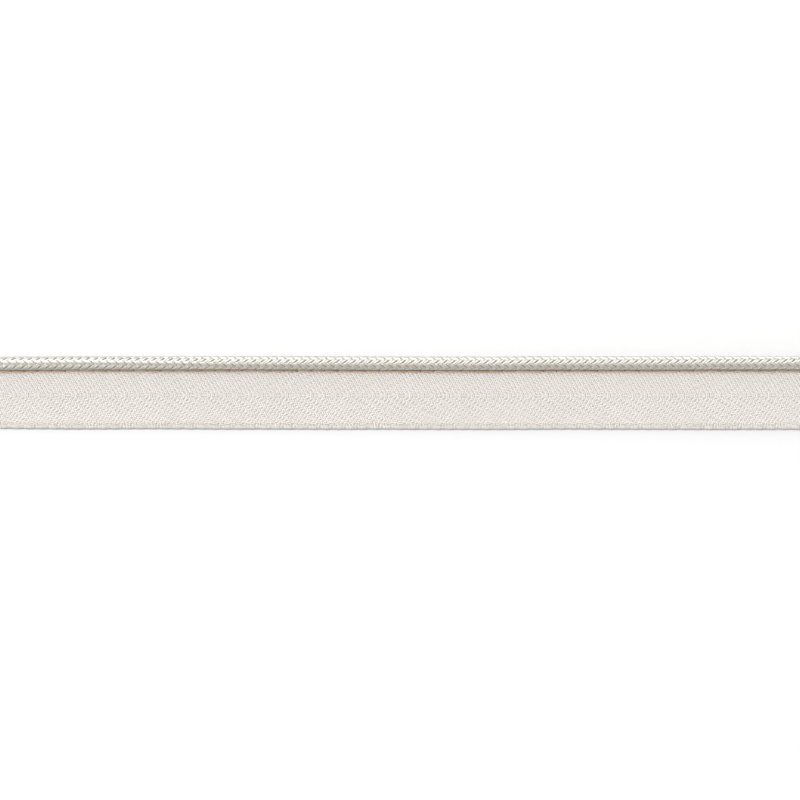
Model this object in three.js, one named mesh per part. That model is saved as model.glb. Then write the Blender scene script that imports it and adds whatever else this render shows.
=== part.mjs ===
// A cut length of flanged piping trim: a braided round cord that is sewn along one edge of a flat
// herringbone tape. The length lies flat, as it does on a cutting table.
// Millimetres. +X runs along the trim, +Y points from the tape's free edge to the cord, +Z is up.
// The origin is under the middle of the trim, on the surface that it lies on.
import * as THREE from "three";

// Driving sizes.
const CORD_DIAMETER = 3.2;
const BRAID_PITCH = 1.9; // from one float of the braid to the next, along the cord
const BRAID_REPEATS = 108;
const BRAID_COLUMNS = 8; // columns of floats round the cord, leaning one way and the other by turns
const BRAID_RELIEF = 0.2; // from the crown of a float down to the hollow beside it
const OVERALL_WIDTH = 17;
const TAPE_WIDTH = 15.9;
const TAPE_THICKNESS = 1;
const SELVEDGE_ROUND = 0.35;
const SEAM_RISE = 0.15; // how much fuller the tape is where it is sewn under the cord
const SEAM_RAMP = 0.9; // the width over which it rises
const SEAM_CLEARANCE = 0.3; // from the cord's side to the foot of that rise
const PIECE_GAP = 0.3; // between the top of the tape and the cord that is sewn on it
const TAPE_STEPS_PER_REPEAT = 0.5;

// Sizes that follow from them.
const LENGTH = BRAID_PITCH * BRAID_REPEATS;
const CORD_RADIUS = CORD_DIAMETER / 2;
const CORD_AXIS_Y = OVERALL_WIDTH / 2 - CORD_RADIUS;
const SEWN_TOP_Z = TAPE_THICKNESS + SEAM_RISE;
const CORD_AXIS_Z = SEWN_TOP_Z + PIECE_GAP + CORD_RADIUS;
const FREE_EDGE_Y = -OVERALL_WIDTH / 2;
const SEWN_EDGE_Y = FREE_EDGE_Y + TAPE_WIDTH;
const SEAM_FOOT_Y = CORD_AXIS_Y - CORD_RADIUS - SEAM_CLEARANCE;

// How the real trim strays from a straight line, and how its braid rolls slowly about the cord's axis.
// A row for each section: its place along the trim, the sideways shift of the cord and of the tape's
// free edge in millimetres, and the turn of the braid's first column from straight up towards +Y in degrees.
const UNEVENNESS = [
  { along: -102.6, cord: -0.12, edge: 0.12, roll: 50 },
  { along: -92, cord: -0.09, edge: 0.17, roll: 48 },
  { along: -73.6, cord: 0.02, edge: 0.03, roll: 46 },
  { along: -55.2, cord: 0.02, edge: 0.1, roll: 36 },
  { along: -36.8, cord: 0.05, edge: 0.02, roll: 17 },
  { along: -18.4, cord: 0.02, edge: -0.03, roll: 13 },
  { along: 0, cord: -0.05, edge: -0.02, roll: 12 },
  { along: 18.4, cord: -0.08, edge: -0.06, roll: 12 },
  { along: 36.8, cord: 0, edge: 0, roll: 13 },
  { along: 55.2, cord: -0.01, edge: -0.02, roll: 13 },
  { along: 73.6, cord: 0.05, edge: -0.08, roll: 16 },
  { along: 92, cord: 0.04, edge: -0.04, roll: 21 },
  { along: 102.6, cord: 0.02, edge: 0, roll: 23 },
];

// One column of the table at any place along the trim, smooth from row to row.
function unevenness(column, along) {
  const last = UNEVENNESS.length - 2;
  const before = UNEVENNESS.findLastIndex((row) => row.along <= along);
  const index = THREE.MathUtils.clamp(before, 0, last);
  const from = UNEVENNESS[index];
  const to = UNEVENNESS[index + 1];
  const share = THREE.MathUtils.smoothstep(along, from.along, to.along);
  return THREE.MathUtils.lerp(from[column], to[column], share);
}

// Moves each vertex of a geometry to the place that the function gives for it.
function reshape(geometry, place) {
  const positions = geometry.getAttribute("position");
  const vertex = new THREE.Vector3();
  for (let i = 0; i < positions.count; i++) {
    vertex.fromBufferAttribute(positions, i);
    place(vertex);
    positions.setXYZ(i, vertex.x, vertex.y, vertex.z);
  }
  geometry.computeVertexNormals();
  return geometry;
}

// The braid has two rings of points for each repeat. On one ring every other column has its crowns, and on
// the next ring the columns between them, half a repeat later. The edges between columns lie half way.
function braidRadius(ring, side) {
  const half = BRAID_RELIEF / 2;
  if (side % 2 !== 0) return CORD_RADIUS - half;
  const column = side / 2;
  const isCrown = (column + ring) % 2 === 0;
  return isCrown ? CORD_RADIUS : CORD_RADIUS - BRAID_RELIEF;
}

// A cylinder laid along X, with the floats of the braid raised in its points, on the cord's real line.
function cordGeometry() {
  const sides = BRAID_COLUMNS * 2;
  const rings = BRAID_REPEATS * 2;
  const cord = new THREE.CylinderGeometry(CORD_RADIUS, CORD_RADIUS, LENGTH, sides, rings);
  cord.rotateZ(-Math.PI / 2);
  return reshape(cord, (vertex) => {
    const angle = Math.atan2(vertex.y, vertex.z);
    const ring = Math.round((vertex.x / LENGTH + 0.5) * rings);
    const side = Math.round((angle / (2 * Math.PI)) * sides + sides) % sides;
    const onAxis = Math.hypot(vertex.y, vertex.z) < CORD_RADIUS / 2;
    const radius = onAxis ? 0 : braidRadius(ring, side);
    const turned = angle + THREE.MathUtils.degToRad(unevenness("roll", vertex.x));
    vertex.y = CORD_AXIS_Y + unevenness("cord", vertex.x) + radius * Math.sin(turned);
    vertex.z = CORD_AXIS_Z + radius * Math.cos(turned);
  });
}

// The tape's section, across it and up: flat below, flat on top up to the seam, a little fuller under the
// cord, and rounded off at its two long edges.
function tapeSection() {
  const round = SELVEDGE_ROUND;
  const section = new THREE.Shape();
  section.moveTo(FREE_EDGE_Y + round, 0);
  section.lineTo(SEWN_EDGE_Y - round, 0);
  section.quadraticCurveTo(SEWN_EDGE_Y, 0, SEWN_EDGE_Y, SEWN_TOP_Z / 2);
  section.quadraticCurveTo(SEWN_EDGE_Y, SEWN_TOP_Z, SEWN_EDGE_Y - round, SEWN_TOP_Z);
  section.lineTo(SEAM_FOOT_Y + SEAM_RAMP, SEWN_TOP_Z);
  section.lineTo(SEAM_FOOT_Y, TAPE_THICKNESS);
  section.lineTo(FREE_EDGE_Y + round, TAPE_THICKNESS);
  section.quadraticCurveTo(FREE_EDGE_Y, TAPE_THICKNESS, FREE_EDGE_Y, TAPE_THICKNESS / 2);
  section.quadraticCurveTo(FREE_EDGE_Y, 0, FREE_EDGE_Y + round, 0);
  return section;
}

// The section run along X. The sewn edge keeps to the cord's line, and the free edge wanders on its own.
function tapeGeometry() {
  const steps = BRAID_REPEATS * TAPE_STEPS_PER_REPEAT;
  const tape = new THREE.ExtrudeGeometry(tapeSection(), {
    depth: LENGTH,
    steps,
    curveSegments: 2,
    bevelEnabled: false,
  });
  return reshape(tape, (vertex) => {
    const along = vertex.z - LENGTH / 2;
    const towardsCord = (vertex.x - FREE_EDGE_Y) / TAPE_WIDTH;
    const shift = THREE.MathUtils.lerp(unevenness("edge", along), unevenness("cord", along), towardsCord);
    vertex.set(along, vertex.x + shift, vertex.y);
  });
}

function piece(name, geometry, material) {
  const mesh = new THREE.Mesh(geometry, new THREE.MeshStandardMaterial(material));
  mesh.name = name;
  return mesh;
}

const trim = new THREE.Group();
trim.add(
  piece("piping_cord", cordGeometry(), { color: 0xddd8ce, roughness: 0.45, metalness: 0 }),
  piece("herringbone_tape", tapeGeometry(), { color: 0xe5e0d9, roughness: 0.85, metalness: 0 }),
);

export default trim;
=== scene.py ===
# %% [markdown]
# A cut length of flanged piping, yarn by yarn.
# Piping of this kind is a braided cord that is sewn along one edge of a flat woven tape. The cord shows at
# the edge of a cushion, and the tape is hidden in the seam. This lesson starts from a plain model of it, two
# solids that lie on the floor, and gives each of them the yarns that a camera sees from close by: sixteen
# braided strands, a herringbone tape of warp and weft, and the thread that holds the two together.

# %% Load the plain model
import math

import bmesh
import bpy
import numpy as np
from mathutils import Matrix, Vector


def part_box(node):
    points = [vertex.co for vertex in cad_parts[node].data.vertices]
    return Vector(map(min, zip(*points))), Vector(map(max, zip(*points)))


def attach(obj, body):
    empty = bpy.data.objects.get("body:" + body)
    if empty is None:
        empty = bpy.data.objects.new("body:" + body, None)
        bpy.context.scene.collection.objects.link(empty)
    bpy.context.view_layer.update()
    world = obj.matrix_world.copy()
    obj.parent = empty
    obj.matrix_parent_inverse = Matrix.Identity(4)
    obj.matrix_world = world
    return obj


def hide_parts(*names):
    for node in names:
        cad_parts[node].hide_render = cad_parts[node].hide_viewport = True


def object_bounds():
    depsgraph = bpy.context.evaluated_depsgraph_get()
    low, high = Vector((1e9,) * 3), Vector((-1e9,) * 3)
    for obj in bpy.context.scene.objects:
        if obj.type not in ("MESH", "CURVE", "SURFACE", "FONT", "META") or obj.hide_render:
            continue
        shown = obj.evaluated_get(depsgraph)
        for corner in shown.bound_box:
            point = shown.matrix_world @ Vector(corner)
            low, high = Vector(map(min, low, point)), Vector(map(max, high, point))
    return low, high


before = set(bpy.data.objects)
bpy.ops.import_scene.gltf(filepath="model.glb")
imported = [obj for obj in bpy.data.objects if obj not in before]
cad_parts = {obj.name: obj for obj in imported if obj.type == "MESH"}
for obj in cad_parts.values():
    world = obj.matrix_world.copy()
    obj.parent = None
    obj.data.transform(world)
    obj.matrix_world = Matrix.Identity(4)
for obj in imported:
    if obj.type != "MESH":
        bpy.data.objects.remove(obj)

MM = 0.001
model_low, model_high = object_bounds()
cord_low, cord_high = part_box("piping_cord")
tape_low, tape_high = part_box("herringbone_tape")
LENGTH = tape_high.x - tape_low.x
print("length", round(LENGTH / MM, 1), "mm, width", round((model_high.y - model_low.y) / MM, 2), "mm")

# %% [markdown]
# The picture looks straight down on the trim, which runs out of it at both sides. The camera is made first,
# because it says how much has to be shown. A wide lens close by would show more of the cord's side at the
# edge of the picture, so a long lens a good way up was chosen. The trim lies a little above the middle of
# the picture, so the camera stands a little towards the free edge.

# %% Place the camera
PICTURE_WIDTH = 184 * MM
PICTURE_PIXELS = 800
PIXEL = PICTURE_WIDTH / PICTURE_PIXELS
TRIM_MIDDLE_PIXEL = 393
LENS_MM = 135
CAMERA_CLIP = (0.01, 20)

camera_data = bpy.data.cameras.new("camera")
camera_data.lens = LENS_MM
camera_data.clip_start, camera_data.clip_end = CAMERA_CLIP
camera = bpy.data.objects.new("camera", camera_data)
bpy.context.scene.collection.objects.link(camera)
bpy.context.scene.camera = camera
camera_height = PICTURE_WIDTH * LENS_MM / camera_data.sensor_width
camera_y = (TRIM_MIDDLE_PIXEL - PICTURE_PIXELS / 2) * PIXEL
camera.location = (0, camera_y, tape_high.z + camera_height)
print("camera", round(camera_height, 3), "m above the tape")

# %% [markdown]
# No trim is perfectly straight. Its cord wanders by a tenth of a millimetre, its free edge by as much again,
# and the braid rolls slowly about its own axis. The plain model follows the table below, and so does every
# yarn here, so that the yarns stay where the solids are. The rows are millimetres along the trim, the
# sideways shift of the cord and of the free edge in millimetres, and the roll of the braid in degrees.

# %% Describe how the trim strays from a straight line
UNEVENNESS = [
    {"along": -102.6, "cord": -0.12, "edge": 0.12, "roll": 50},
    {"along": -92, "cord": -0.09, "edge": 0.17, "roll": 48},
    {"along": -73.6, "cord": 0.02, "edge": 0.03, "roll": 46},
    {"along": -55.2, "cord": 0.02, "edge": 0.1, "roll": 36},
    {"along": -36.8, "cord": 0.05, "edge": 0.02, "roll": 17},
    {"along": -18.4, "cord": 0.02, "edge": -0.03, "roll": 13},
    {"along": 0, "cord": -0.05, "edge": -0.02, "roll": 12},
    {"along": 18.4, "cord": -0.08, "edge": -0.06, "roll": 12},
    {"along": 36.8, "cord": 0, "edge": 0, "roll": 13},
    {"along": 55.2, "cord": -0.01, "edge": -0.02, "roll": 13},
    {"along": 73.6, "cord": 0.05, "edge": -0.08, "roll": 16},
    {"along": 92, "cord": 0.04, "edge": -0.04, "roll": 21},
    {"along": 102.6, "cord": 0.02, "edge": 0, "roll": 23},
]


def smooth_step(share):
    """0 to 1 with a soft start and a soft stop."""
    return share * share * (3 - 2 * share)


def unevenness(column, x):
    """One column of the table at places x along the trim, in metres for a shift and radians for the roll."""
    along = np.array([row["along"] for row in UNEVENNESS]) * MM
    values = np.array([row[column] for row in UNEVENNESS])
    index = np.clip(np.searchsorted(along, x, side="right") - 1, 0, len(along) - 2)
    share = np.clip((x - along[index]) / (along[index + 1] - along[index]), 0, 1)
    value = values[index] + (values[index + 1] - values[index]) * smooth_step(share)
    return np.radians(value) if column == "roll" else value * MM


print("the cord strays", round(float(unevenness("cord", 0.0)) / MM, 2), "mm at the middle")

# %% [markdown]
# Every yarn is a long thin tube, and there are hundreds of them. A curve with a round bevel could make each
# one, but these yarns are flat, and they turn their flat side to the cord or to the floor. So one plain tube
# is made with operators: a cone of equal radii is a closed cylinder, and cutting its long edges gives it
# rings. It carries a map with millimetres along it and turns around it, which the finish follows later.

# %% Make one plain tube
RANDOM_SEED = 7
random = np.random.default_rng(RANDOM_SEED)


def plain_tube(rings, sides, length):
    """A closed tube, one unit long on Z and one in radius, with rings of points and its own map."""
    tube = bmesh.new()
    bmesh.ops.create_cone(tube, cap_ends=True, segments=sides, radius1=1, radius2=1, depth=1)
    long_edges = [e for e in tube.edges if e.verts[0].co.z * e.verts[1].co.z < 0]
    bmesh.ops.subdivide_edges(tube, edges=long_edges, cuts=rings - 2, use_grid_fill=True)
    uv = tube.loops.layers.uv.new("yarn")
    for face in tube.faces:
        face.smooth = len(face.verts) == 4
        middle = face.calc_center_median()
        face_turn = math.atan2(middle.y, middle.x) / math.tau
        for loop in face.loops:
            co = loop.vert.co
            turn = math.atan2(co.y, co.x) / math.tau
            turn += round(face_turn - turn)
            loop[uv].uv = ((co.z + 0.5) * length / MM, turn)
    mesh = bpy.data.meshes.new("plain_tube")
    tube.to_mesh(mesh)
    tube.free()
    return mesh


# %% [markdown]
# The tube is copied once for each yarn of a piece, and then a function moves all points at once to where
# their yarn lies. Hundreds of separate objects would be slow to handle, so the copies are one joined mesh.
# Each yarn also gets one random shade of its own, because no two yarns take the dye in quite the same way.

# %% Lay copies of the tube as yarns
def lay_tubes(name, count, rings, sides, length, place, painted_bead_shade=None):
    """Joins copies of a plain tube into one piece. place(number, along, around) gives the points: the tube's
    number, how far along it from 0 to 1, and the angle around it. The last argument, a function of along,
    gives 1 where the yarns are pressed together on the bead and the finish paints them a darker shade."""
    tube = plain_tube(rings, sides, length)
    joined = bmesh.new()
    for _ in range(count):
        joined.from_mesh(tube)
    mesh = bpy.data.meshes.new(name)
    joined.to_mesh(mesh)
    joined.free()
    points = np.empty(len(mesh.vertices) * 3)
    mesh.vertices.foreach_get("co", points)
    points = points.reshape(count, -1, 3)
    number = np.arange(count)[:, None]
    along = points[..., 2] + 0.5
    around = np.arctan2(points[..., 1], points[..., 0])
    placed = place(number, along, around)
    mesh.vertices.foreach_set("co", placed.ravel())
    shade = mesh.attributes.new("shade", "FLOAT", "POINT")
    shade.data.foreach_set("value", np.repeat(random.random(count), points.shape[1]))
    # The mask marks where the finish paints the shade between the packed wraps of the bead.
    if painted_bead_shade:
        bead_shade_mask = mesh.attributes.new("bead_shade_mask", "FLOAT", "POINT")
        bead_shade_mask.data.foreach_set("value", painted_bead_shade(along).ravel())
    mesh.update()
    bpy.data.meshes.remove(tube)
    piece = bpy.data.objects.new(name, mesh)
    bpy.context.scene.collection.objects.link(piece)
    print(name, count, "yarns,", sum(len(f.vertices) - 2 for f in mesh.polygons), "triangles")
    return piece


# %% [markdown]
# A yarn follows a path, and its section stays square to that path. The section is a flat oval: wide across,
# thin the way that it faces. Yarns that pass over two others and under the next two rise and fall in a wave
# whose tops are flattened, because a float lies straight between the places where it dips.

# %% Wrap an oval section around a path
PATH_STEP = 1e-4


def unit(vectors):
    return vectors / np.linalg.norm(vectors, axis=-1, keepdims=True)


def around_path(path, along, around, width, thickness, up):
    """Points of an oval yarn round a path. up is the way its flat side faces."""
    ahead = unit(path(along + PATH_STEP) - path(along - PATH_STEP))
    side = unit(np.cross(up, ahead))
    top = np.cross(ahead, side)
    across = (width / 2 * np.cos(around))[..., None]
    above = (thickness / 2 * np.sin(around))[..., None]
    return path(along) + side * across + top * above


def over_and_under(turns):
    """The height of a yarn that passes over two and under two, from 1 to -1, with flattened tops."""
    wave = np.cos(math.tau * turns)
    return wave * (3 - wave * wave) / 2


print("a float is flat at its middle:", [round(float(over_and_under(t / 8)), 2) for t in range(5)])

# %% [markdown]
# The cord is a round braid of sixteen strands, eight wound each way. Each strand goes over two of the others
# and under the next two, which gives the rows of arrowheads. A picture of a braid on a plain tube would look
# flat at the cord's edge, so the strands are real. A strand is a spiral round the cord's axis whose distance
# from the axis rises and falls. Where the two ways of winding meet, one is high while the other is low.

# %% Size the braid
STRANDS_EACH_WAY = 8
BRAID_PITCH = 1.9 * MM
BRAID_LEAD = STRANDS_EACH_WAY * BRAID_PITCH
YARN_WIDTH = 0.58 * MM
YARN_THICKNESS = 0.44 * MM
STRAND_RISE = 0.16 * MM
CORD_SETTLE = 0.16 * MM

cord_radius = (cord_high.z - cord_low.z) / 2
cord_axis_z = (cord_high.z + cord_low.z) / 2 - CORD_SETTLE
cord_axis_y = model_high.y - cord_radius - max(row["cord"] for row in UNEVENNESS) * MM
strand_radius = cord_radius - STRAND_RISE - YARN_THICKNESS / 2
strand_length = LENGTH * math.hypot(1, math.tau * strand_radius / BRAID_LEAD)
print("a strand turns once in", round(BRAID_LEAD / MM, 1), "mm and is", round(strand_length / MM), "mm long")

# %% [markdown]
# The cut ends of such a cord are sealed with a hot knife, or they would open like a brush. The sealed end is
# rounded and drawn in, so over the last millimetre the strands run in towards the axis.

# %% Draw the strands in at the cut ends
END_LENGTH = 1.2 * MM
END_RADIUS = 0.12


def drawn_in(x):
    """How far the strands are drawn in towards the axis at x: 1 along the cord, and less at its two ends."""
    to_end = np.clip((LENGTH / 2 - np.abs(x)) / END_LENGTH, 0, 1)
    return END_RADIUS + (1 - END_RADIUS) * np.sqrt(1 - (1 - to_end) ** 2)


print("at the very end the cord is", round(2 * cord_radius * END_RADIUS / MM, 2), "mm thick")

# %% [markdown]
# Seen close, each float shows two thin bright lines, because a strand is two ends of yarn side by side. So
# each strand is laid as two tubes, a small turn apart. The floats also stand a little steeper than the even
# spiral, because the strands that pass over them at both ends push them round. A sine added to the turn
# gives that.

# %% Braid the cord
ENDS_PER_STRAND = 2
END_TURN = 0.28
BRAID_LEAN = 0.08
YARN_RINGS = 560
YARN_SIDES = 8


def braid_yarns(way):
    """A function that places the yarns wound one way: 1 or -1."""

    def place(number, along, around):
        strand = number // ENDS_PER_STRAND + (0.5 if way < 0 else 0)
        aside = END_TURN * (number % ENDS_PER_STRAND - 0.5)
        start = math.tau * strand / STRANDS_EACH_WAY + aside

        def even_turn(x):
            return start + way * math.tau * x / BRAID_LEAD

        def crossings(x):
            return even_turn(x) * STRANDS_EACH_WAY / 2 / math.tau

        def angle(x):
            lean = way * BRAID_LEAN * np.sin(math.tau * crossings(x))
            return unevenness("roll", x) + even_turn(x) + lean

        def distance(x):
            return (strand_radius + STRAND_RISE * way * over_and_under(crossings(x))) * drawn_in(x)

        def path(share):
            x = (share - 0.5) * LENGTH
            y = cord_axis_y + unevenness("cord", x) + distance(x) * np.sin(angle(x))
            z = cord_axis_z + distance(x) * np.cos(angle(x))
            return np.stack((x, y, z), -1)

        x = (along - 0.5) * LENGTH
        turned = angle(x)
        outwards = np.stack((np.zeros_like(turned), np.sin(turned), np.cos(turned)), -1)
        width, thickness = YARN_WIDTH * drawn_in(x), YARN_THICKNESS * drawn_in(x)
        points = around_path(path, along, around, width, thickness, outwards)
        points[..., 0] = np.clip(points[..., 0], -LENGTH / 2, LENGTH / 2)
        return points

    return place


yarns_each_way = STRANDS_EACH_WAY * ENDS_PER_STRAND
braid_pieces = [
    lay_tubes(name, yarns_each_way, YARN_RINGS, YARN_SIDES, strand_length, braid_yarns(way))
    for name, way in (("strands_wound_right", 1), ("strands_wound_left", -1))
]

# %% [markdown]
# The tape is a herringbone: a twill that goes over two and under two, and whose slant turns round at the
# middle of the tape. The yarns along the tape are its ends, the warp. They are packed closer towards the two
# edges, as on most narrow tapes. The yarns across it are its picks, the weft. The plan of the weave comes
# first, so that warp and weft take their crossings from the same two functions.

# %% Plan the tape
END_ROWS = 43
PICKS = 288
TAPE_WIDTH = 15.9 * MM
MIDDLE_SPREAD = 1.31
WEAVE_MIDDLE_Z = 0.4 * MM
TAPE_LIFT = 0.45 * MM
LIFT_REACH = 2.3 * MM
REPEAT = 4
half_rows = END_ROWS / 2
pick_pitch = LENGTH / PICKS
free_edge_y = model_low.y - min(row["edge"] for row in UNEVENNESS) * MM


def across_tape(end, x):
    """The place across the tape of an end, counted from the middle, which may be a fraction."""
    share = end / half_rows
    bend = (MIDDLE_SPREAD * np.abs(share) - (MIDDLE_SPREAD - 1) * share * share) * np.sign(share)
    towards_cord = (bend + 1) / 2
    shift = unevenness("edge", x) * (1 - towards_cord) + unevenness("cord", x) * towards_cord
    return free_edge_y + TAPE_WIDTH * towards_cord + shift


def tape_rise(y):
    """How far the tape is pulled up to the cord at y."""
    share = np.clip((y - cord_axis_y) / LIFT_REACH + 1, 0, 1)
    return TAPE_LIFT * smooth_step(share)


def float_turns(pick, end):
    """The place in the weave's repeat of four: 0 in the middle of a warp float."""
    return (pick - np.abs(end) - 0.5) / REPEAT


def weave_middle(y):
    return WEAVE_MIDDLE_Z + tape_rise(y)


print(PICKS, "picks,", round(10 * MM / pick_pitch, 1), "to the centimetre")

# %% [markdown]
# The warp. An end rises over two picks and dips under two. The picks that it holds down pull it to one side
# and then to the other, so it runs as a slight snake. That lean is small, but it makes the weave look like
# rows of slanting dashes, and without it the tape looks like a grid. Two straight ends without floats lie in
# the groove beside the free edge, and the cut ends differ a little in length.

# %% Lay the warp
FIRST_END = -18
FIRST_WOVEN_END = -16
LAST_END = 20
WARP_SIDES = 6
WARP_RISE = 0.12 * MM
WARP_THICKNESS = 0.4 * MM
WARP_FULLNESS = 0.85
WARP_LEAN = 0.55
FILLER_WAVE = 0.3
FILLER_DROP = 0.145 * MM
CUT_SPREAD = 0.12 * MM
CUT_SHARPNESS = 400
UP = np.array((0.0, 0.0, 1.0))
end_count = LAST_END - FIRST_END + 1
cut_strays = random.uniform(-1, 1, (end_count, 1)) * CUT_SPREAD


def warp_points(number, along, around):
    end = number + FIRST_END
    woven = np.where(end < FIRST_WOVEN_END, FILLER_WAVE, 1)
    drop = np.where(end < FIRST_WOVEN_END, FILLER_DROP, 0)

    def path(share):
        pick = share * (PICKS + 1) - 1
        turns = float_turns(pick, end)
        to_cut = np.abs(2 * share - 1) ** CUT_SHARPNESS
        x = (pick + 0.5 - PICKS / 2) * pick_pitch + cut_strays * to_cut
        swing = -WARP_LEAN * woven * np.sign(end) * np.sin(math.tau * turns)
        y = across_tape(end + swing, x)
        z = weave_middle(y) - drop + WARP_RISE * woven * over_and_under(turns)
        return np.stack((x, y, z), -1)

    room = across_tape(end + 0.5, 0 * along) - across_tape(end - 0.5, 0 * along)
    return around_path(path, along, around, WARP_FULLNESS * room, np.full_like(along, WARP_THICKNESS), UP)


warp = lay_tubes("tape_warp", end_count, PICKS + 2, WARP_SIDES, LENGTH, warp_points)

# %% [markdown]
# The weft. On a narrow loom the weft is laid in as a hairpin, two yarns in each opening, and all the hairpins
# turn at the free edge, where they wrap round it as a smooth bead. So each pick here is one tube that comes
# from under the cord, crosses the tape, goes round the bead and comes back beside itself. It leans at each
# crossing as the warp does. The two yarns of a hairpin lie a quarter of a pick to either side of its line,
# and close up only where they meet on the bead. Under the cord each of them turns back to the next hairpin.
# Soft yarns flatten where they cross. These tubes keep their section and overlap a little there instead,
# which looks the same from above and keeps the weave as shallow as it is on the real tape.

# %% Plan a hairpin of weft
PAIR_ASIDE = 0.25
PAIR_CLOSING = 8
WEFT_SIDES = 6
WEFT_RISE = 0.1 * MM
WEFT_THICKNESS = 0.34 * MM
WEFT_WIDTH = 0.35 * MM
WEFT_LEAN = 0.21
TURN_RINGS = 3
TURN_REACH = 0.12 * MM
BEAD_RINGS = 7
flat_rings = LAST_END - FIRST_WOVEN_END + 2
leg_rings = TURN_RINGS + flat_rings + BEAD_RINGS
bead_start = 1 - BEAD_RINGS / leg_rings
print("a hairpin of weft has", 2 * leg_rings + 1, "rings, and", 2 * BEAD_RINGS, "of them are on the bead")

# %% [markdown]
# The weft dips into a narrow groove before it goes round the bead. At every fourth pick the same crossings
# come round again and pull a little harder, which leaves the edge faintly bumpy.

# %% Shape the bead of the free edge
BEAD_CENTRE = 0.63 * MM
BEAD_Z = 0.515 * MM
BEAD_REACH = 0.27 * MM
BEAD_HEIGHT = 0.29 * MM
BEAD_FROM = math.radians(190)
BEAD_TO = math.radians(-70)
BEAD_PACKING = 1.0
PACKING_RAMP = 4
BEAD_BUMP = 0.04 * MM
EDGE_STRAY = 0.05 * MM
STRAY_PICKS = 9
stray_blend = np.ones(STRAY_PICKS) / STRAY_PICKS
edge_strays = np.convolve(random.normal(0, EDGE_STRAY, PICKS + STRAY_PICKS - 1), stray_blend, "valid")


def bead_place(number, x, wrap):
    """Where the weft lies across and up as it goes round the free edge: wrap is 0 above and 1 below."""
    turn = BEAD_FROM + (BEAD_TO - BEAD_FROM) * wrap
    bump = BEAD_BUMP * np.cos(math.tau * number / REPEAT) + edge_strays[number]
    y = free_edge_y + unevenness("edge", x) + BEAD_CENTRE
    return y - (BEAD_REACH + bump) * np.cos(turn), BEAD_Z + (BEAD_HEIGHT + bump) * np.sin(turn)


def bead_width_and_shade_share(along):
    """1 on the bead and 0 on the flat of the tape, for places along a hairpin. It widens the weft there and
    marks the painted shade of the bead.
    """
    reach = 1 - np.abs(2 * along - 1)
    return smooth_step(np.clip((reach - bead_start) / (1 - bead_start) * PACKING_RAMP, 0, 1))


print("the bead is", round(2 * BEAD_REACH / MM + WEFT_THICKNESS / MM, 2), "mm across")

# %% [markdown]
# The tape is laid in two halves, left and right, only to keep each mesh at a size that is easy to handle.

# %% Lay the weft
def weft_points(number, along, around):
    def path(share):
        leg = np.sign(share - 0.5)
        ring = leg_rings * (1 - np.abs(2 * share - 1))
        turn = math.pi / 2 * np.clip(1 - ring / TURN_RINGS, 0, 1)
        wrap = np.clip((ring - TURN_RINGS - flat_rings) / BEAD_RINGS, 0, 1)
        end = LAST_END + 1 - np.clip(ring - TURN_RINGS, 0, flat_rings)
        turns = float_turns(number, end)
        aside = PAIR_ASIDE * np.sqrt(1 - wrap**PAIR_CLOSING) + (0.5 - PAIR_ASIDE) * (1 - np.cos(turn))
        held = smooth_step(np.clip(end - FIRST_WOVEN_END + 1, 0, 1)) * np.cos(turn)
        swing = -WEFT_LEAN * held * np.sin(math.tau * turns)
        x = (number + 0.5 - PICKS / 2 + leg * aside + swing) * pick_pitch
        y_flat = across_tape(end, x) + TURN_REACH * np.sin(turn)
        z_flat = weave_middle(y_flat) - WEFT_RISE * held * over_and_under(turns)
        y_bead, z_bead = bead_place(number, x, wrap)
        on_bead = wrap > 0
        return np.stack((x, np.where(on_bead, y_bead, y_flat), np.where(on_bead, z_bead, z_flat)), -1)

    width = WEFT_WIDTH * (1 + BEAD_PACKING * bead_width_and_shade_share(along))
    return around_path(path, along, around, width, np.full_like(along, WEFT_THICKNESS), UP)


def weft_half(first_pick):
    """A function that places the hairpins from a first pick on."""

    def place(number, along, around):
        return weft_points(number + first_pick, along, around)

    return place


half_picks = PICKS // 2
weft_rings = 2 * leg_rings + 1
weft_length = 2 * TAPE_WIDTH
weft_pieces = [
    lay_tubes(name, half_picks, weft_rings, WEFT_SIDES, weft_length, weft_half(first_pick), bead_width_and_shade_share)
    for name, first_pick in (("tape_weft_left", 0), ("tape_weft_right", half_picks))
]

# %% [markdown]
# The hairpins would slip out of each other if nothing held them, so a fine yarn runs through their turns at
# the very edge. It shows as one more thin line beside the bead, with a dark line between the two. It is a
# single tube as long as the trim, bumpy where it passes through a turn.

# %% Lock the free edge
LOCK_RINGS = 2 * PICKS + 1
LOCK_SIDES = 8
LOCK_WIDTH = 0.28 * MM
LOCK_THICKNESS = 0.24 * MM
LOCK_CENTRE = 0.19 * MM
LOCK_Z = 0.24 * MM
LOCK_BUMP = 0.05 * MM


def lock_points(number, along, around):
    def path(share):
        x = (share - 0.5) * LENGTH
        pick = share * PICKS
        bump = LOCK_BUMP * np.cos(math.tau * pick / REPEAT)
        stray = np.interp(pick, np.arange(PICKS), edge_strays)
        y = free_edge_y + unevenness("edge", x) + LOCK_CENTRE - bump - stray
        return np.stack((x, y, LOCK_Z + bump), -1)

    width = np.full_like(along, LOCK_WIDTH)
    return around_path(path, along, around, width, np.full_like(along, LOCK_THICKNESS), UP)


# The whole edge yarn takes the painted shade of the bead.
lock_yarn = lay_tubes("tape_edge_yarn", 1, LOCK_RINGS, LOCK_SIDES, LENGTH, lock_points, np.ones_like)

# %% [markdown]
# The sewing. A tan thread holds the cord down in the groove beside it. Each stitch comes up out of the tape,
# lies along the groove for about three millimetres and goes down again, and at the hole it leaves a dark
# dimple. A stitch is a short tube in the shape of a flat arch.

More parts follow.
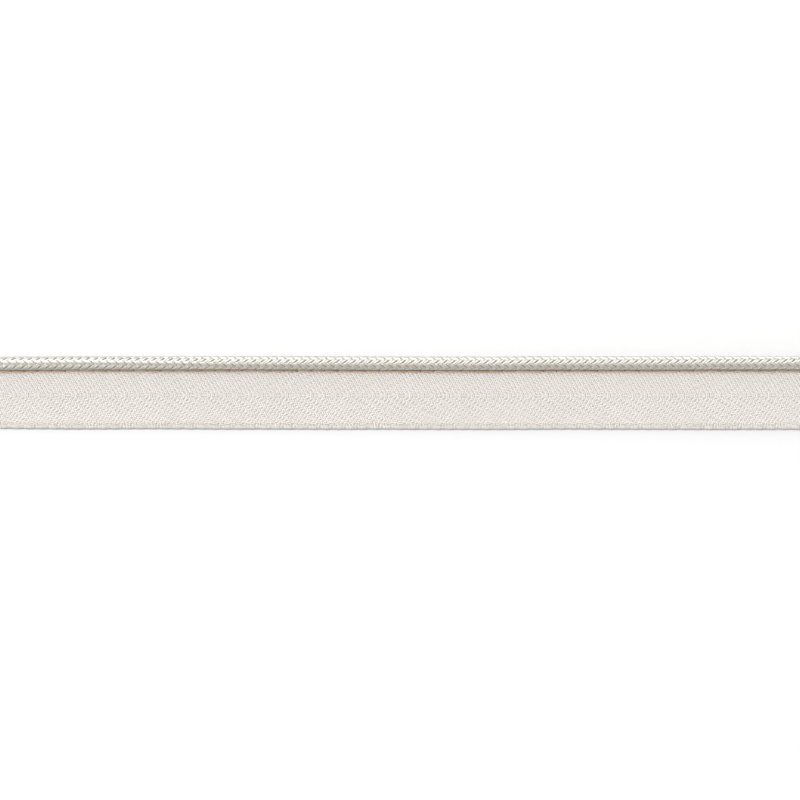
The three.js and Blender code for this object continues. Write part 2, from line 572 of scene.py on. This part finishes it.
# %% Sew the cord to the tape
STITCH_PITCH = 3.14 * MM
STITCHES = int(LENGTH / STITCH_PITCH)
STITCH_REACH = 0.98
STITCH_RINGS = 14
THREAD_SIDES = 8
THREAD_DIAMETER = 0.45 * MM
THREAD_ASIDE = 0.14 * MM
THREAD_SWAY = 0.08 * MM
THREAD_LOW_Z = 0.35 * MM
THREAD_ARCH = 0.8 * MM
ARCH_POWER = 0.25
THREAD_FACING = np.array((0.0, -1.0, 0.5))
stitch_sways = random.uniform(-1, 1, (STITCHES, 1)) * THREAD_SWAY


def stitch_points(number, along, around):
    def path(share):
        x = (number + 0.5 - STITCHES / 2 + (share - 0.5) * STITCH_REACH) * STITCH_PITCH
        arch = np.sin(math.pi * np.clip(share, 0, 1))
        y = cord_axis_y + unevenness("cord", x) - cord_radius - THREAD_ASIDE + stitch_sways * arch
        z = THREAD_LOW_Z + THREAD_ARCH * arch**ARCH_POWER
        return np.stack((x, y, z), -1)

    size = np.full_like(along, THREAD_DIAMETER)
    return around_path(path, along, around, size, size, THREAD_FACING)


stitches = lay_tubes("seam_stitches", STITCHES, STITCH_RINGS, THREAD_SIDES, STITCH_PITCH, stitch_points)

# %% [markdown]
# The finishes share two effects, and each is a node group that is built once. The first is the surface of a
# spun or twisted yarn: ridges that wind round it, and fine fibres that follow them. It reads the yarn's own
# map, so the ridges wind round each yarn wherever it goes. The map jumps where a turn is complete, so the
# turns go through a sine and a cosine first.

# %% Build the group for twist and fibres
def new_group(name, inputs, outputs):
    """A shader node group with named sockets, and its two end nodes."""
    group = bpy.data.node_groups.new(name, "ShaderNodeTree")
    for socket, kind, value in inputs:
        made = group.interface.new_socket(socket, in_out="INPUT", socket_type=kind)
        if value is not None:
            made.default_value = value
    for socket, kind in outputs:
        group.interface.new_socket(socket, in_out="OUTPUT", socket_type=kind)
    return group, group.nodes.new("NodeGroupInput"), group.nodes.new("NodeGroupOutput")


def math_node(tree, operation, first, second=None):
    """A Math node whose inputs are sockets or numbers. Gives its output."""
    node = tree.nodes.new("ShaderNodeMath")
    node.operation = operation
    for socket, value in zip(node.inputs, (first, second)):
        if isinstance(value, bpy.types.NodeSocket):
            tree.links.new(value, socket)
        elif value is not None:
            socket.default_value = value
    return node.outputs["Value"]


NUMBER = "NodeSocketFloat"
VECTOR = "NodeSocketVector"
COLOUR = "NodeSocketColor"
HALF_WAVE = 0.5
FIBRE_DETAIL = 3

twist, twist_in, twist_out = new_group(
    "yarn_twist",
    (
        ("Map", VECTOR, None),
        ("Pitch mm", NUMBER, 1.0),
        ("Plies", NUMBER, 2.0),
        ("Fibres along", NUMBER, 1.5),
        ("Fibres around", NUMBER, 2.5),
        ("Fibre share", NUMBER, 0.4),
    ),
    (("Height", NUMBER), ("Fibres", NUMBER)),
)
split = twist.nodes.new("ShaderNodeSeparateXYZ")
twist.links.new(twist_in.outputs["Map"], split.inputs["Vector"])
forward = math_node(twist, "DIVIDE", split.outputs["X"], twist_in.outputs["Pitch mm"])
wound = math_node(twist, "ADD", forward, split.outputs["Y"])
wound_angle = math_node(twist, "MULTIPLY", wound, math.tau)
ply_angle = math_node(twist, "MULTIPLY", wound_angle, twist_in.outputs["Plies"])
ridges = math_node(twist, "MULTIPLY_ADD", math_node(twist, "SINE", ply_angle), HALF_WAVE)
ridges.node.inputs[2].default_value = HALF_WAVE
fibre_place = twist.nodes.new("ShaderNodeCombineXYZ")
fibres_along = math_node(twist, "MULTIPLY", split.outputs["X"], twist_in.outputs["Fibres along"])
cosine = math_node(twist, "COSINE", wound_angle)
sine = math_node(twist, "SINE", wound_angle)
twist.links.new(fibres_along, fibre_place.inputs["X"])
around_size = twist_in.outputs["Fibres around"]
twist.links.new(math_node(twist, "MULTIPLY", cosine, around_size), fibre_place.inputs["Y"])
twist.links.new(math_node(twist, "MULTIPLY", sine, around_size), fibre_place.inputs["Z"])
fibre_noise = twist.nodes.new("ShaderNodeTexNoise")
fibre_noise.inputs["Scale"].default_value = 1
fibre_noise.inputs["Detail"].default_value = FIBRE_DETAIL
twist.links.new(fibre_place.outputs["Vector"], fibre_noise.inputs["Vector"])
fibre_part = math_node(twist, "MULTIPLY", fibre_noise.outputs["Fac"], twist_in.outputs["Fibre share"])
ridge_share = math_node(twist, "SUBTRACT", 1, twist_in.outputs["Fibre share"])
ridge_part = math_node(twist, "MULTIPLY", ridges, ridge_share)
twist.links.new(math_node(twist, "ADD", ridge_part, fibre_part), twist_out.inputs["Height"])
twist.links.new(fibre_noise.outputs["Fac"], twist_out.inputs["Fibres"])
print("yarn_twist has", len(twist.nodes), "nodes")

# %% [markdown]
# The second effect is the tone. A yarn's colour differs a little from its neighbour's, and slow patches a
# few millimetres long run across all of them, where the cloth was handled or took up the dye unevenly. The
# group mixes two colours by the yarn's own shade, by a slow noise in the piece's own place, and by the fine
# fibre noise, which adds painted shade between the fibres. A mask then mixes in a third colour, which is
# painted shade on the packed bead.

# %% Build the group for tone
PATCH_DETAIL = 2

tone, tone_in, tone_out = new_group(
    "yarn_tone",
    (
        ("Colour", COLOUR, None),
        ("Tone and shade colour", COLOUR, None),
        ("Bead shade colour", COLOUR, None),
        ("Shade", NUMBER, 0.5),
        ("Place", VECTOR, None),
        ("Fibres", NUMBER, 0.5),
        ("Bead shade mask", NUMBER, 0.0),
        ("Yarn spread", NUMBER, 0.4),
        ("Patch spread", NUMBER, 0.4),
        ("Fibre painted shade", NUMBER, 0.2),
        ("Patches per metre", NUMBER, 90.0),
    ),
    (("Colour", COLOUR), ("Tone", NUMBER)),
)
patch_noise = tone.nodes.new("ShaderNodeTexNoise")
patch_noise.inputs["Detail"].default_value = PATCH_DETAIL
tone.links.new(tone_in.outputs["Place"], patch_noise.inputs["Vector"])
tone.links.new(tone_in.outputs["Patches per metre"], patch_noise.inputs["Scale"])
yarn_part = math_node(tone, "MULTIPLY", tone_in.outputs["Shade"], tone_in.outputs["Yarn spread"])
patch_part = math_node(tone, "MULTIPLY", patch_noise.outputs["Fac"], tone_in.outputs["Patch spread"])
# The fine fibre noise pulls the colour towards the darker one as painted shade between the fibres, and the
# sum mixes it with the random tone.
fibre_painted_shade = math_node(tone, "MULTIPLY", tone_in.outputs["Fibres"], tone_in.outputs["Fibre painted shade"])
depth = math_node(tone, "ADD", math_node(tone, "ADD", yarn_part, patch_part), fibre_painted_shade)
depth.node.use_clamp = True
colours = tone.nodes.new("ShaderNodeMix")
colours.data_type = "RGBA"
tone.links.new(depth, colours.inputs["Factor"])
tone.links.new(tone_in.outputs["Colour"], colours.inputs["A"])
tone.links.new(tone_in.outputs["Tone and shade colour"], colours.inputs["B"])
# A mask mixes in a darker colour, which paints the shade that the packed bead holds between its wraps.
bead_shade_colours = tone.nodes.new("ShaderNodeMix")
bead_shade_colours.data_type = "RGBA"
tone.links.new(tone_in.outputs["Bead shade mask"], bead_shade_colours.inputs["Factor"])
tone.links.new(colours.outputs["Result"], bead_shade_colours.inputs["A"])
tone.links.new(tone_in.outputs["Bead shade colour"], bead_shade_colours.inputs["B"])
tone.links.new(bead_shade_colours.outputs["Result"], tone_out.inputs["Colour"])
tone.links.new(depth, tone_out.inputs["Tone"])
print("yarn_tone has", len(tone.nodes), "nodes")

# %% [markdown]
# One function puts the two groups together in a material. The groups feed the base colour, the roughness and
# the height of a bump. All that is the same everywhere, such as the strength of the gloss, is set on the
# shader itself.

# %% Make a yarn material from the groups
def place_group(tree, group, values):
    node = tree.nodes.new("ShaderNodeGroup")
    node.node_tree = group
    for socket, value in values.items():
        node.inputs[socket].default_value = value
    return node


def yarn_material(name, twist_values, tone_values, rough_range, bump_mm, shader_values):
    made = bpy.data.materials.new(name)
    made.use_nodes = True
    tree = made.node_tree
    shader = tree.nodes["Principled BSDF"]
    yarn_map = tree.nodes.new("ShaderNodeUVMap")
    yarn_map.uv_map = "yarn"
    place = tree.nodes.new("ShaderNodeTexCoord")
    shade = tree.nodes.new("ShaderNodeAttribute")
    shade.attribute_name = "shade"
    # This attribute marks the painted shade of the bead.
    bead_shade_mask = tree.nodes.new("ShaderNodeAttribute")
    bead_shade_mask.attribute_name = "bead_shade_mask"
    twisted = place_group(tree, twist, twist_values)
    toned = place_group(tree, tone, tone_values)
    tree.links.new(yarn_map.outputs["UV"], twisted.inputs["Map"])
    tree.links.new(twisted.outputs["Fibres"], toned.inputs["Fibres"])
    tree.links.new(place.outputs["Object"], toned.inputs["Place"])
    tree.links.new(shade.outputs["Fac"], toned.inputs["Shade"])
    tree.links.new(bead_shade_mask.outputs["Fac"], toned.inputs["Bead shade mask"])
    tree.links.new(toned.outputs["Colour"], shader.inputs["Base Color"])
    rough = tree.nodes.new("ShaderNodeMapRange")
    rough.inputs["To Min"].default_value, rough.inputs["To Max"].default_value = rough_range
    tree.links.new(twisted.outputs["Fibres"], rough.inputs["Value"])
    tree.links.new(rough.outputs["Result"], shader.inputs["Roughness"])
    bump = tree.nodes.new("ShaderNodeBump")
    bump.inputs["Distance"].default_value = bump_mm * MM
    tree.links.new(twisted.outputs["Height"], bump.inputs["Height"])
    tree.links.new(bump.outputs["Normal"], shader.inputs["Normal"])
    for socket, value in shader_values.items():
        shader.inputs[socket].default_value = value
    print(name, "made")
    return made


# %% [markdown]
# The cord's yarn is smooth and shiny, with fibres that run along it, as on satin. Such a surface stretches
# its highlight across the fibres, which the shader's anisotropy gives. The tangent of the yarn's map says
# which way the fibres run.

# %% Finish the cord
CORD_COLOUR = (0.435, 0.42, 0.39, 1)
# The second colour serves the random tone of the yarns and the painted shade between the fibres.
CORD_TONE_AND_SHADE_COLOUR = (0.385, 0.362, 0.308, 1)
CORD_ROUGH = (0.4, 0.55)
CORD_BUMP_MM = 0.012
CORD_LEVEL = 1.0
CORD_ANISO = 0.7
FIBRES_ALONG_MAP = 0.25

cord_finish = yarn_material(
    "satin_braid_yarn",
    {"Pitch mm": 9.0, "Plies": 6.0, "Fibres along": 0.7, "Fibres around": 5.0, "Fibre share": 0.5},
    {
        "Colour": CORD_COLOUR,
        "Tone and shade colour": CORD_TONE_AND_SHADE_COLOUR,
        "Yarn spread": 0.5,
        "Patch spread": 0.5,
        "Fibre painted shade": 0.4,
    },
    CORD_ROUGH,
    CORD_BUMP_MM,
    {
        "Specular IOR Level": CORD_LEVEL,
        "Anisotropic": CORD_ANISO,
        "Anisotropic Rotation": FIBRES_ALONG_MAP,
    },
)
fibre_direction = cord_finish.node_tree.nodes.new("ShaderNodeTangent")
fibre_direction.direction_type = "UV_MAP"
fibre_direction.uv_map = "yarn"
cord_shader = cord_finish.node_tree.nodes["Principled BSDF"]
cord_finish.node_tree.links.new(fibre_direction.outputs["Tangent"], cord_shader.inputs["Tangent"])

# %% [markdown]
# The tape's yarn is spun from short fibres. It is matt, a little warmer than white, and its two plies show
# as fine slanting ridges from close by.

# %% Finish the tape
TAPE_COLOUR = (0.695, 0.668, 0.642, 1)
# The second colour serves the random tone of the yarns and the painted shade between the fibres.
TAPE_TONE_AND_SHADE_COLOUR = (0.655, 0.617, 0.58, 1)
# The bead and the edge yarn are painted this darker colour, as the shade between their packed wraps.
TAPE_BEAD_SHADE_COLOUR = (0.54, 0.512, 0.485, 1)
TAPE_ROUGH = (0.75, 0.9)
TAPE_BUMP_MM = 0.008
TAPE_YARN_SPREAD = 0.15
TAPE_PATCH_SPREAD = 0.6
TAPE_FIBRE_PAINTED_SHADE = 0.2
TAPE_LEVEL = 0.1

tape_finish = yarn_material(
    "spun_tape_yarn",
    {"Pitch mm": 1.1, "Plies": 2.0, "Fibres along": 3.0, "Fibres around": 2.0, "Fibre share": 0.5},
    {
        "Colour": TAPE_COLOUR,
        "Tone and shade colour": TAPE_TONE_AND_SHADE_COLOUR,
        "Bead shade colour": TAPE_BEAD_SHADE_COLOUR,
        "Yarn spread": TAPE_YARN_SPREAD,
        "Patch spread": TAPE_PATCH_SPREAD,
        "Fibre painted shade": TAPE_FIBRE_PAINTED_SHADE,
    },
    TAPE_ROUGH,
    TAPE_BUMP_MM,
    {"Specular IOR Level": TAPE_LEVEL},
)

# %% [markdown]
# The thread is a hard twisted sewing thread in tan, darker than both, and slightly waxed.

# %% Finish the thread
THREAD_COLOUR = (0.73, 0.53, 0.37, 1)
# The second colour serves the random tone of the yarns and the painted shade between the fibres.
THREAD_TONE_AND_SHADE_COLOUR = (0.55, 0.36, 0.22, 1)
THREAD_ROUGH = (0.5, 0.65)
THREAD_BUMP_MM = 0.03
THREAD_LEVEL = 0.3

thread_finish = yarn_material(
    "twisted_sewing_thread",
    {"Pitch mm": 0.9, "Plies": 3.0, "Fibres along": 4.0, "Fibres around": 2.0, "Fibre share": 0.3},
    {
        "Colour": THREAD_COLOUR,
        "Tone and shade colour": THREAD_TONE_AND_SHADE_COLOUR,
        "Yarn spread": 0.5,
        "Patch spread": 0.5,
        "Fibre painted shade": 0.5,
    },
    THREAD_ROUGH,
    THREAD_BUMP_MM,
    {"Specular IOR Level": THREAD_LEVEL},
)

# %% [markdown]
# Each piece gets its finish, and the plain solid that it stands for is hidden. The strands stand for the
# cord, and the warp and the weft for the tape. The thread is an addition. Nothing here moves against anything
# else, so all of it rides on the one body.

# %% Dress the pieces and place them on the plain model
DRESSING = [
    (braid_pieces, cord_finish, "piping_cord", "cord_yarn"),
    ([warp, *weft_pieces, lock_yarn], tape_finish, "herringbone_tape", "tape_yarn"),
    ([stitches], thread_finish, None, "sewing_thread"),
]
for pieces, finish, node, slot in DRESSING:
    for piece in pieces:
        piece.data.materials.append(finish)
        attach(piece, "root")
        if node:
            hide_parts(node)
        print(piece.name, "is finished with", finish.name)

# %% [markdown]
# The trim lies on a white table. Its white is only just full, so that the soft shade beside the tape shows.

# %% Lay the floor
FLOOR_SIZE = 2
FLOOR_COLOUR = (0.685, 0.685, 0.685, 1)
FLOOR_SHADE = (0.675, 0.675, 0.675, 1)
FLOOR_GRAIN_PER_METRE = 400
FLOOR_ROUGH = 0.9

floor_shape = bmesh.new()
bmesh.ops.create_grid(floor_shape, x_segments=1, y_segments=1, size=FLOOR_SIZE)
floor_mesh = bpy.data.meshes.new("floor")
floor_shape.to_mesh(floor_mesh)
floor_shape.free()
floor = bpy.data.objects.new("floor", floor_mesh)
bpy.context.scene.collection.objects.link(floor)

floor_finish = bpy.data.materials.new("white_table")
floor_finish.use_nodes = True
floor_tree = floor_finish.node_tree
floor_shader = floor_tree.nodes["Principled BSDF"]
floor_place = floor_tree.nodes.new("ShaderNodeTexCoord")
floor_grain = floor_tree.nodes.new("ShaderNodeTexNoise")
floor_grain.inputs["Scale"].default_value = FLOOR_GRAIN_PER_METRE
floor_tree.links.new(floor_place.outputs["Object"], floor_grain.inputs["Vector"])
floor_mix = floor_tree.nodes.new("ShaderNodeMix")
floor_mix.data_type = "RGBA"
floor_mix.inputs["A"].default_value = FLOOR_COLOUR
floor_mix.inputs["B"].default_value = FLOOR_SHADE
floor_tree.links.new(floor_grain.outputs["Fac"], floor_mix.inputs["Factor"])
floor_tree.links.new(floor_mix.outputs["Result"], floor_shader.inputs["Base Color"])
floor_shader.inputs["Roughness"].default_value = FLOOR_ROUGH
floor.data.materials.append(floor_finish)
print("floor", 2 * FLOOR_SIZE, "m square")

# %% [markdown]
# The light is soft and white. A large lamp stands to the left, half way up, and rakes along the trim. It
# leaves no shadow of the cord on the tape, but every float that dips catches it on one side. The lamp stands
# well away, so that both ends of the picture are equally bright. A weak lamp low behind the cord lights its
# far side and the table there, and leaves a faint shade on the near side. A still weaker one in front softens
# the groove. The last lamp gives shine alone, because it is hidden from the matt part of every finish, so
# it shows on the satin cord and hardly on the tape.

# %% Light the scene
WORLD_COLOUR = (1, 1, 1, 1)
WORLD_LIGHT = 0.615
KEY_PLACE = (-3.0, 0.6, 3.0)
KEY_SIZE = 1.2
KEY_WATTS = 200
BACK_PLACE = (0.0, 3.0, 0.7)
BACK_SIZE = 1.4
BACK_WATTS = 32
FRONT_PLACE = (-0.5, -3.0, 1.3)
FRONT_SIZE = 0.8
FRONT_WATTS = 5
GLOSS_PLACE = (-0.9, 2.7, 2.5)
GLOSS_SIZE = 3.0
GLOSS_WATTS = 520

world = bpy.data.worlds.new("studio")
bpy.context.scene.world = world
world.use_nodes = True
background = world.node_tree.nodes["Background"]
background.inputs["Color"].default_value = WORLD_COLOUR
background.inputs["Strength"].default_value = WORLD_LIGHT


def area_light(name, place, size, watts):
    """A square lamp that faces the middle of the trim."""
    data = bpy.data.lights.new(name, "AREA")
    data.shape = "SQUARE"
    data.size = size
    data.energy = watts
    light = bpy.data.objects.new(name, data)
    bpy.context.scene.collection.objects.link(light)
    light.location = place
    light.rotation_euler = Vector(place).to_track_quat("Z", "Y").to_euler()
    light.visible_camera = False
    print(name, "light of", watts, "W at", place)
    return light


area_light("key", KEY_PLACE, KEY_SIZE, KEY_WATTS)
area_light("back", BACK_PLACE, BACK_SIZE, BACK_WATTS)
area_light("front", FRONT_PLACE, FRONT_SIZE, FRONT_WATTS)
gloss_light = area_light("gloss", GLOSS_PLACE, GLOSS_SIZE, GLOSS_WATTS)
gloss_light.visible_diffuse = False
bpy.context.scene.view_settings.view_transform = "Standard"

# %% [markdown]
# The size of the plain model is printed at the end.

# %% Measure and finish
print("plain model", [round(v / MM, 2) for v in model_high - model_low], "mm")
